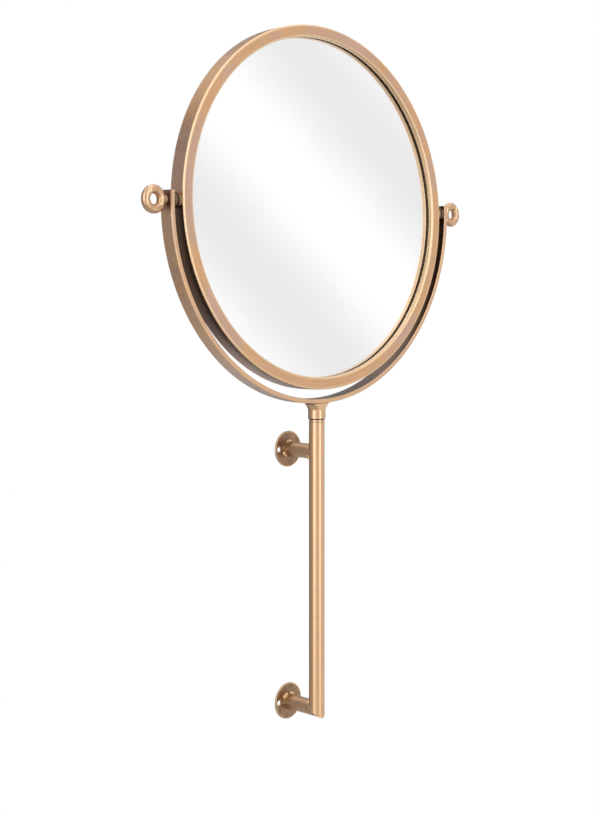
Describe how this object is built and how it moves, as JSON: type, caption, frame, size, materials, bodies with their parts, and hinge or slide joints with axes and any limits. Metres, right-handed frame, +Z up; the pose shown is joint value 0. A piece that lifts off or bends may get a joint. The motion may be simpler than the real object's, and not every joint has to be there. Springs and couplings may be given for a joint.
{
  "type": "extendable shaving mirror",
  "caption": "Round wall mirror in a deep brass hoop that tilts between ring-headed bolts in a half-ring yoke, on a post held off the wall by short flanged arms.",
  "frame": {"origin": "centre of the lower wall flange's back face, on the wall plane", "axes": "+X to the right as the user looks at the mirror, +Y into the wall, +Z up"},
  "size_m": [0.4902, 0.061, 0.7696],
  "materials": {
    "hoop_brass": "antique brass, finely brushed, mottled patina, edges worn bright",
    "yoke_brass": "antique brass, finely brushed, edges worn bright",
    "post_brass": "antique brass, brushed along its length, satin",
    "arm_brass": "antique brass, darker, brushed round",
    "flange_brass": "antique brass, dark and slightly rough",
    "braze": "bare golden filler metal",
    "eye_brass": "antique brass, forged and hand polished",
    "mirror_glass": "clear polished float glass",
    "silvering": "silver coat",
    "cushion": "thin dark foam sheet",
    "backing_board": "bare brown hardboard",
    "tab_steel": "plated sheet steel",
    "fastener_steel": "plated steel",
    "fibre": "dark fibre"
  },
  "bodies": {
    "wall_bracket": {"lower_wall_flange": "flange_brass", "upper_wall_flange": "flange_brass", "lower_flange_bead": "braze", "upper_flange_bead": "braze", "upper_arm_bead": "braze", "lower_arm": "arm_brass", "upper_arm": "arm_brass", "post": "post_brass", "yoke_strip": "yoke_brass", "yoke_socket": "yoke_brass", "post_bush": "post_brass", "yoke_stud": "fastener_steel", "left_yoke_spacer": "yoke_brass", "right_yoke_spacer": "yoke_brass"},
    "mirror_head": {"hoop": "hoop_brass", "mirror_glass": "mirror_glass", "mirror_silvering": "silvering", "cushion_sheet": "cushion", "backing_board": "backing_board", "left_pivot_boss": "eye_brass", "right_pivot_boss": "eye_brass", "left_pivot_washer": "fibre", "right_pivot_washer": "fibre", "back_tab_1": "tab_steel", "back_tab_2": "tab_steel", "back_tab_3": "tab_steel", "back_tab_4": "tab_steel", "back_tab_5": "tab_steel", "back_tab_6": "tab_steel", "back_tab_screw_1": "fastener_steel", "back_tab_screw_2": "fastener_steel", "back_tab_screw_3": "fastener_steel", "back_tab_screw_4": "fastener_steel", "back_tab_screw_5": "fastener_steel", "back_tab_screw_6": "fastener_steel"},
    "left_eye": {"left_eye_bolt": "eye_brass"},
    "right_eye": {"right_eye_bolt": "eye_brass"}
  },
  "joints": [
    {"name": "mirror_tilt", "type": "hinge", "parent": "wall_bracket", "child": "mirror_head", "pos_m": [0, -0.04602, 0.55022], "axis": [1, 0, 0], "range_deg": [-7.4, 10.6]},
    {"name": "left_eye_turn", "type": "hinge", "parent": "wall_bracket", "child": "left_eye", "pos_m": [-0.2303, -0.04602, 0.55022], "axis": [-1, 0, 0], "range_deg": [0, 180]},
    {"name": "right_eye_turn", "type": "hinge", "parent": "wall_bracket", "child": "right_eye", "pos_m": [0.2303, -0.04602, 0.55022], "axis": [1, 0, 0], "range_deg": [0, 180]}
  ]
}
